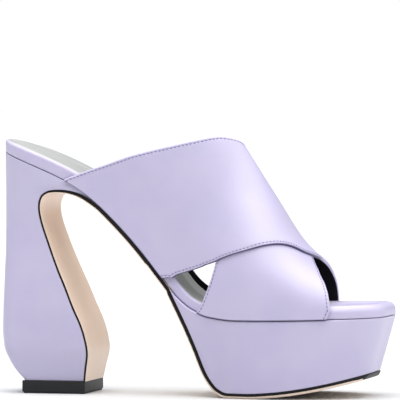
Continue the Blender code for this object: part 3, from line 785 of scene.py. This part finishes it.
def makeOutsole():
    rings = []
    tip = path[heelTip]
    start = path[platformTip]
    across = outsole["across"]
    fades, ends = outsole["fringeEnd"]
    for k, (point, normal) in enumerate(zip(path, normals)):
        fade = smoothStep((k / heelTip - outsole["thickens"]) / (1 - outsole["thickens"]))
        later = smoothStep((k - platformTip) / (len(platformBack) - 1) / outsole["steps"] - outsole["fills"])
        thickness = outsole["breast"] + (outsole["arch"] - outsole["breast"]) * fade
        thickness += (outsole["thickness"] - outsole["arch"]) * later
        bevel = outsole["breastBevel"] + (outsole["archBevel"] - outsole["breastBevel"]) * fade
        bevel += (outsole["bevel"] - outsole["archBevel"]) * later
        bevel *= 1 - smoothStep((point.x / shoe["length"] - fades) / (ends - fades))
        if k <= platformTip:
            widens = outsole["widens"]
            raised = point.z > outsole["height"] * tip.z
            share = smoothStep((point.x / tip.x - widens) / (1 - widens)) if raised else 0.0
            half = heelHalf(point.z)
            outer, inner = outline(max(point.x, tip.x * outsole["outline"]), outsole["welt"] * share)
            outer = -half + (outer + half) * share
            inner = half + (inner - half) * share
        else:
            xTop = platformTopX(point.x, start.x)
            outer, inner = platformSides(xTop, seatHeight(xTop) - point.z, 0.0)
        bevel = min(bevel, (inner - outer) / 2)
        toTip = (path[-1].x - point.x) / outsole["tipLength"]
        thickness *= 1 - outsole["tipThin"] * (1 - smoothStep(toTip))
        lower = point + normal * thickness
        side = point + normal * (thickness - bevel)
        ring = [Vector((point.x, outer, point.z)), Vector((side.x, outer, side.z))]
        for i in range(across + 1):
            y = outer + bevel + (inner - outer - 2 * bevel) * i / across
            ring.append(Vector((lower.x, y, lower.z)))
        ring += [Vector((side.x, inner, side.z)), Vector((point.x, inner, point.z))]
        ring += [Vector((point.x, inner + (outer - inner) * share, point.z)) for share in (1 / 3, 2 / 3)]
        rings.append(ring)
    sides = (0, across + 3)
    tipStart = path[-1].x - outsole["tipLength"]
    mesh = bmesh.new()
    made = wrap(mesh, rings, lambda k, i: 1 if i in sides or path[k].x > tipStart else 0)
    closeEnds(mesh, made, 0, 1)
    finishPiece(mesh, "leather_outsole", [tanLeather, edgePaint], "outsole", 25)


platform = {
    "edge": 0.0009,  # roundness of its upper edge
    "edgeTurns": (25, 50, 70, 90),  # degrees
    "wallSteps": 10,
}


def makePlatform():
    start = path[platformTip]
    rings = []
    levels = [k / platform["wallSteps"] for k in range(platform["wallSteps"] + 1)]
    for point, normal in zip(path[platformTip + 1 :], normals[platformTip + 1 :]):
        low = point - normal * shoe["clearance"] * outsole["gap"]
        xTop = platformTopX(point.x, start.x)
        high = onSeat(xTop, 0, -shoe["clearance"])
        depth = high.z - low.z
        if depth < 2 * shoe["clearance"]:
            continue
        edge = min(platform["edge"], depth / 3)
        sides = [[], []]
        wall = [(level * (1 - edge / depth), 0.0) for level in levels]
        for degrees in platform["edgeTurns"]:
            turn = math.radians(degrees)
            wall.append((1 - edge * (1 - math.sin(turn)) / depth, edge * (1 - math.cos(turn))))
        for level, tuck in wall:
            middle = low.lerp(high, level)
            outer, inner = platformSides(xTop, depth, level)
            tuck = min(tuck, (inner - outer) / 2)
            sides[0].append(Vector((middle.x, outer + tuck, middle.z)))
            sides[1].append(Vector((middle.x, inner - tuck, middle.z)))
        top = [sides[0][-1].lerp(sides[1][-1], 0.5)]
        bottom = [sides[1][0].lerp(sides[0][0], 0.5)]
        rings.append(sides[0] + top + sides[1][::-1] + bottom)
    mesh = bmesh.new()
    closeEnds(mesh, wrap(mesh, rings))
    finishPiece(mesh, "platform_wrap", [smoothLeather], "platform", 40)


def heelRing(front, backHeight, topness):
    share = backHeight / shoe["heelHeight"]
    back = heelBack(share) * shoe["length"]
    half = heelHalf(backHeight)
    power = heelPower(share)
    turn = min(back + heelCorner(share) * heel["width"], front.x)
    steps = heel["sideSteps"]
    xs = [front.x + (turn - front.x) * k / steps for k in range(steps)]
    xs += [back + d for d in endStations(turn - back, power, heel["cornerSteps"])]
    sides = [[], []]
    for x in xs:
        reach = min(max((turn - x) / (turn - back), 0.0), 1.0)
        block = half * (1 - reach**power) ** (1 / power)
        share = (front.x - x) / (front.x - back)
        level = front.z + (backHeight - front.z) * share
        levelSeat = seatHeight(front.x) + (seatHeight(back) - seatHeight(front.x)) * share
        bulge = (seatHeight(x) - levelSeat) * topness
        for side, y in enumerate(outline(x)):
            own = (-block, block)[side]
            sides[side].append(Vector((x, own + (y - own) * topness, level + bulge)))
    return sides[0] + sides[1][-2::-1]


def makeHeel():
    gap = shoe["clearance"] * outsole["gap"]
    inner = [point - normal * gap for point, normal in zip(path[:heelTip], normals)]
    lengths = [0.0]
    for before, after in zip(inner, inner[1:]):
        lengths.append(lengths[-1] + (after - before).length)
    levelEnd = heel["levelEnd"] * shoe["heelHeight"]
    turning = next(length for point, length in zip(inner, lengths) if point.z >= levelEnd)
    top = seatHeight(0) - shoe["clearance"]
    foot = liftHeight + shoe["clearance"] * 0.5
    rings = []
    for point, length in zip(inner, lengths):
        share = max(length - turning, 0.0) / (lengths[-1] - turning)
        front = Vector((point.x, 0, max(point.z, foot)))
        height = front.z if share == 0 else levelEnd + share * (top - levelEnd)
        rings.append(heelRing(front, height, smoothStep(share) ** heel["fan"]))
    mesh = bmesh.new()
    closeEnds(mesh, wrap(mesh, rings))
    finishPiece(mesh, "heel_cover", [smoothLeather], "heel", 40)


lift = {
    "length": 0.0364,
    "width": 0.0392,
    "corner": 0.0007,
    "cornerSteps": 4,
    "chamfer": 0.0009,  # how far its lower edge is cut back,
    "chamferHeight": 0.0012,
    "edge": 0.0003,  # and its upper edge
}


def makeTopLift():
    middle = breastFoot + breastThickness - lift["length"] / 2
    edge = lift["edge"]
    levels = [(0.0, lift["chamfer"]), (lift["chamferHeight"], 0.0)]
    levels += [(liftHeight - edge, 0.0), (liftHeight, edge)]
    rings = []
    for height, inset in levels:
        ring = []
        for quarter in range(4):
            signX = 1 if quarter in (0, 3) else -1
            signY = 1 if quarter in (0, 1) else -1
            x = middle + signX * (lift["length"] / 2 - lift["corner"] - inset)
            y = signY * (lift["width"] / 2 - lift["corner"] - inset)
            for k in range(lift["cornerSteps"] + 1):
                angle = math.pi / 2 * (quarter + k / lift["cornerSteps"])
                out = lift["corner"]
                ring.append(Vector((x + math.cos(angle) * out, y + math.sin(angle) * out, height)))
        rings.append(ring)
    mesh = bmesh.new()
    made = wrap(mesh, rings)
    mesh.faces.new(made[0])
    mesh.faces.new(made[-1])
    finishPiece(mesh, "rubber_top_lift", [blackRubber], "top_lift", 30)


makeOutsole()
makePlatform()
makeHeel()
makeTopLift()
print("sole, platform and heel made")


# Straps

ridgeTable = table(
    "station ridge rise power",
    (0.167, 0.4995, 1.395, 2.15), (0.394, 0.5945, 1.072, 2.15), (0.640, 0.6882, 0.709, 2.15),
    (0.800, 0.7535, 0.447, 2.15), (0.900, 0.8110, 0.311, 2.15), (1.000, 0.8750, 0.207, 2.15),
)
upperTable = table(  # round: -1 at the outer side, 0 at the ridge, 1 at the inner side
    "round back front",
    (-1.00, 0.180, 0.437), (-0.90, 0.196, 0.447), (-0.80, 0.2165, 0.489), (-0.70, 0.2355, 0.556),
    (-0.55, 0.272, 0.665), (-0.40, 0.3085, 0.739), (-0.25, 0.3455, 0.797), (-0.10, 0.390, 0.847),
    (0.10, 0.434, 0.872), (0.35, 0.474, 0.868), (0.60, 0.512, 0.855), (0.80, 0.520, 0.841),
    (1.00, 0.520, 0.817),
)
lowerTable = table(
    "round back front",
    (-1.00, 0.533, 0.870), (-0.90, 0.539, 0.881), (-0.80, 0.5435, 0.893), (-0.65, 0.537, 0.907),
    (-0.50, 0.522, 0.914), (-0.30, 0.490, 0.912), (-0.10, 0.452, 0.892), (0.10, 0.420, 0.845),
    (0.35, 0.382, 0.715), (0.60, 0.312, 0.520), (0.85, 0.228, 0.385), (1.00, 0.205, 0.375),
)
bandTable = table("round back front", (0.878, 0.36, 0.55), (1.0, 0.36, 0.55))
band = {"columns": 12, "proud": 0.0003}  # it stands out past both straps by this
strap = {
    "thickness": 0.0022,
    "wall": 0.0048,  # straight part beside the footbed's rim
    "wallShare": 0.1,
    "rise": 0.091,
    "ridgeOffset": 0.02,
    "bite": 0.0006,  # how deep the upper strap lies in the lower one
    "liftStart": 0.86,
    "liftFull": 0.66,
    "edge": 0.0009,  # roundness of the turned edges
    "edgeTurns": (0, 25, 45, 65, 90),  # degrees
    "edgeZone": 0.0034,  # with closer rows, for the edge and the groove
    "hem": 0.0003,  # leather turned over the edge, on the lining's side
    "shadeEnd": 0.1,  # way round at which the upper strap's front edge starts to lose its dark line of edge paint and painted shadow
    "shadeFade": 0.2,
    "shadeStart": 0.0001,  # the same line across the edge
    "shadeWidth": 0.0005,
    "footShade": 0.9,  # the dark line of painted contact shadow along the straps' feet
    "groove": 0.00016,  # depth of the furrow that the stitches lie in
    "grooveWidth": 0.0004,
    "columns": 180,
    "middleRows": 26,
    "samples": 30,
}
ridgeAlong = reader(ridgeTable, "station", "ridge")
ridgeRise = reader(ridgeTable, "station", "rise")
ridgePower = reader(ridgeTable, "station", "power")


def footSurface(x, wayRound):  # inner face of the straps
    along = x / shoe["length"]
    outer, inner = outline(x, shoe["clearance"], rounded=False)
    sideY = outer if wayRound < 0 else inner
    up = 1 - abs(wayRound)
    if up < strap["wallShare"]:
        return onSeat(x, sideY, strap["wall"] * up / strap["wallShare"])
    foot = onSeat(x, sideY, strap["wall"])
    angle = (up - strap["wallShare"]) / (1 - strap["wallShare"]) * math.pi / 2
    rounding = 2 / ridgePower(along)
    ridgeX = ridgeAlong(along) * shoe["length"]
    ridgeZ = shoe["platformHeight"] + ridgeRise(along) * strap["rise"]
    ridge = Vector((ridgeX, strap["ridgeOffset"] * shoe["ball"], ridgeZ))
    centre = Vector((foot.x, ridge.y, foot.z))
    out = max(math.cos(angle), 0.0) ** rounding
    raised = math.sin(angle) ** rounding
    return centre + (foot - centre) * out + (ridge - centre) * raised


def surfaceNormal(x, wayRound):
    step = shoe["length"] / 500
    turn = 0.01
    along = footSurface(x + step, wayRound) - footSurface(x - step, wayRound)
    across = footSurface(x, min(wayRound + turn, 1.0)) - footSurface(x, max(wayRound - turn, -1.0))
    return along.cross(across).normalized()


def strapLift(wayRound):  # how far the upper strap stands off the foot to pass over the lower one
    start, full = strap["liftStart"], strap["liftFull"]
    share = 1 - smoothStep((abs(wayRound) - full) / (start - full))
    return (strap["thickness"] - strap["bite"]) * share


def edgeRows():  # distances from an edge at which the strap's section has a point
    rows = [strap["edge"] * (1 - math.cos(math.radians(degrees))) for degrees in strap["edgeTurns"]]
    inset = stitching["inset"]
    rows += [inset + strap["grooveWidth"] * share for share in (-0.5, 0, 0.5, 1, 2)]
    return [*rows, strap["edgeZone"]]


def faceHeights(edge):  # of the leather face and the lining face, at a distance from the strap's edge
    half = strap["thickness"] / 2
    bulge = math.sqrt(1 - (1 - min(edge / strap["edge"], 1.0)) ** 2)
    groove = strap["groove"] * math.exp(-(((edge - stitching["inset"]) / strap["grooveWidth"]) ** 2))
    return half + half * bulge - groove, half - half * bulge


def strapGrid(rows, start, columns):
    # For each column: its way round, and for each row its station and its distance from the nearer edge.
    back = reader(rows, "round", "back")
    front = reader(rows, "round", "front")
    fromEdge = edgeRows()
    count = strap["samples"]
    grid = []
    for column in range(columns + 1):
        wayRound = start + (1 - start) * column / columns
        low, high = back(wayRound) * shoe["length"], front(wayRound) * shoe["length"]
        samples = [low + (high - low) * k / count for k in range(count + 1)]
        points = [footSurface(x, wayRound) for x in samples]
        arcs = [0.0]
        for before, after in zip(points, points[1:]):
            arcs.append(arcs[-1] + (after - before).length)
        total = arcs[-1]
        margin = fromEdge[-1]
        middle = strap["middleRows"]
        distances = fromEdge + [margin + (total - 2 * margin) * k / middle for k in range(1, middle)]
        distances += [total - d for d in fromEdge[::-1]]
        section = []
        for d in distances:
            i = next((k for k in range(count) if d <= arcs[k + 1]), count - 1)
            t = (d - arcs[i]) / (arcs[i + 1] - arcs[i])
            section.append((samples[i] + (samples[i + 1] - samples[i]) * t, min(d, total - d)))
        grid.append((wayRound, section))
    return grid


def bothFaces(row):  # the values of a strap's row on its leather face, and back along the lining
    return row + row[-2:0:-1]


def makeStrap(name, rows, lifted, start=-1.0, columns=strap["columns"], proud=0.0):
    grid = strapGrid(rows, start, columns)
    count = len(grid[0][1])
    stitchRows = [edgeRows().index(stitching["inset"])]
    stitchRows.append(count - 1 - stitchRows[0])
    rings, edges, alongs, shades = [], [], [], []
    stitchLines = [[], []]
    for wayRound, section in grid:
        lift = strapLift(wayRound) if lifted else proud
        over, under = [], []
        for i, (x, edge) in enumerate(section):
            point = footSurface(x, wayRound)
            normal = surfaceNormal(x, wayRound)
            high, low = faceHeights(edge)
            over.append(point + normal * (lift + high))
            under.append(point + normal * (lift + low))
            if i in stitchRows:
                stitchLines[stitchRows.index(i)].append((over[-1], normal))
        rings.append(over + under[-2:0:-1])
        edges.append(bothFaces([edge for x, edge in section]))
    lengths = [[0.0], [0.0]]
    for length, line in zip(lengths, stitchLines):
        for (before, _), (after, _) in zip(line, line[1:]):
            length.append(length[-1] + (after - before).length)
    for column, (wayRound, section) in enumerate(grid):
        alongs.append(bothFaces([lengths[0 if i < count / 2 else 1][column] for i in range(count)]))
        # painted shadow with edge paint under the upper strap's front edge, and painted contact shadow at
        # the straps' feet
        frontEdgeShadow = 1 - smoothStep((wayRound - strap["shadeEnd"]) / strap["shadeFade"]) if lifted else 0.0
        foot = strap["footShade"] if column in (0, len(grid) - 1) else 0.0
        own = []
        for i, (x, edge) in enumerate(section):
            fromEdge = smoothStep((edge - strap["shadeStart"]) / strap["shadeWidth"])
            turned = 1 - fromEdge if i > count / 2 else 0.0
            own.append(max(frontEdgeShadow * turned, foot))
        shades.append(bothFaces(own))

    def slotOf(k, i):  # lining on the inner face, short of the hem
        own = edges[0]
        onLining = i >= count - 1 and max(own[i], own[(i + 1) % len(own)]) > strap["hem"]
        return 1 if onLining else 0

    mesh = bmesh.new()
    layers = [mesh.verts.layers.float.new(key) for key in ("edge", "along", "shaded")]
    made = wrap(mesh, rings, slotOf)
    for layer, values in zip(layers, (edges, alongs, shades)):
        for ring, own in zip(made, values):
            for vertex, value in zip(ring, own):
                vertex[layer] = value
    closeEnds(mesh, made, 1)
    finishPiece(mesh, name, [stitchedLeather, blackLining], "upper", 60)
    return stitchLines


def stitchRings(middle, along, across, normal):
    rings = []
    radius = stitching["radius"]
    for share in stitching["sections"]:
        width = radius * math.sqrt(max(1 - abs(share) ** 3, stitching["tip"]))
        height = radius * (stitching["stand"] - stitching["dip"] * share * share)
        centre = middle + along * (stitching["length"] / 2) * share + normal * height
        ring = []
        for k in range(stitching["sides"]):
            angle = 2 * math.pi * k / stitching["sides"]
            ring.append(centre + (across * math.cos(angle) + normal * math.sin(angle)) * width)
        rings.append(ring)
    return rings


def makeStitches(name, lines):
    mesh = bmesh.new()
    for line in lines:
        travelled = 0.0
        due = stitching["pitch"] / 2
        for (before, normal), (after, _) in zip(line, line[1:]):
            step = (after - before).length
            along = (after - before).normalized()
            across = along.cross(normal).normalized()
            while due <= travelled + step:
                middle = before.lerp(after, (due - travelled) / step)
                made = wrap(mesh, stitchRings(middle, along, across, normal))
                mesh.faces.new(made[0])
                mesh.faces.new(made[-1])
                due += stitching["pitch"]
            travelled += step
    finishPiece(mesh, name, [thread], None, 80)


upperLines = makeStrap("upper_strap", upperTable, True)
lowerLines = makeStrap("lower_strap", lowerTable, False)
makeStrap("inner_band", bandTable, False, bandTable[0]["round"], band["columns"], band["proud"])
makeStitches("upper_strap_stitches", upperLines)
makeStitches("lower_strap_stitches", lowerLines)
print("straps made")


# Floor, light and camera

studio = {
    "floor": colour(211, 212, 213),
    "floorSize": 40.0,
    "floorPatch": 0.05,
    "aim": (0, 0, 0.06),  # the point that both softboxes look at
    "round": 0.06,  # light from all round
    "toeSide": 1.0,  # and more of it from the toe's side,
    "heelSide": 0.30,  # from the heel's side
    "top": 4.7,  # and from straight above
    "keyPower": 3,
    "keyPlace": (1.1, -1.1, 1.1),
    "keySize": 1.8,
    "topPower": 5,
    "topPlace": (-0.1, -0.6, 1.5),
    "topSize": 1.2,
}


def makeFloor():
    mesh = bmesh.new()
    bmesh.ops.create_grid(mesh, x_segments=1, y_segments=1, size=studio["floorSize"])
    data = bpy.data.meshes.new("floor")
    mesh.to_mesh(data)
    mesh.free()
    floor = bpy.data.objects.new("floor", data)
    bpy.context.scene.collection.objects.link(floor)
    finish = Finish("pale_floor")
    patches = finish.noise(studio["floorPatch"])
    finish.set(Base_Color=studio["floor"], Roughness=0.7 + patches * 0.1, Specular_IOR_Level=0.2)
    data.materials.append(finish.material)


def softbox(name, place, size, power):
    light = bpy.data.lights.new(name, "AREA")
    light.size = size
    light.energy = power
    lamp = bpy.data.objects.new(name, light)
    lamp.location = place
    lamp.rotation_euler = (Vector(studio["aim"]) - Vector(place)).to_track_quat("-Z", "Y").to_euler()
    bpy.context.scene.collection.objects.link(lamp)


def makeLight():
    world = bpy.data.worlds.new("studio")
    bpy.context.scene.world = world
    sky = Graph(world, "Background")
    direction = sky.node("TexCoord", output="Generated")
    along = sky.node("SeparateXYZ", {}, {0: direction}, "X")
    up = sky.node("SeparateXYZ", {}, {0: direction}, "Z")
    toeward = sky.atLeast(along, 0.0)
    heelward = sky.atLeast(0.0 - along, 0.0)
    above = sky.atLeast(up, 0.0)
    light = studio["round"] + toeward * toeward * studio["toeSide"]
    light = light + heelward * heelward * studio["heelSide"]
    light = light + above * above * above * above * studio["top"]
    seen = sky.node("LightPath", output="Is Camera Ray")
    sky.set(Color=(1, 1, 1, 1), Strength=light * (1 - seen) + seen)
    softbox("toe_softbox", studio["keyPlace"], studio["keySize"], studio["keyPower"])
    softbox("top_softbox", studio["topPlace"], studio["topSize"], studio["topPower"])


camera = {
    "place": Vector((0.6920, -2.3287, 0.165)),
    "tilt": 88.634,
    "turn": 14.0,
    "lens": 388.8,
    "sensor": 36.0,
    "reach": 100,
}


def makeCamera():
    data = bpy.data.cameras.new("camera")
    data.lens = camera["lens"]
    data.sensor_width = camera["sensor"]
    data.clip_end = camera["reach"]
    eye = bpy.data.objects.new("camera", data)
    eye.location = camera["place"] + shift
    eye.rotation_euler = (math.radians(camera["tilt"]), 0, math.radians(camera["turn"]))
    bpy.context.scene.collection.objects.link(eye)
    bpy.context.scene.camera = eye


makeFloor()
makeLight()
makeCamera()
bpy.context.scene.view_settings.view_transform = "Standard"
print("floor, light and camera made")
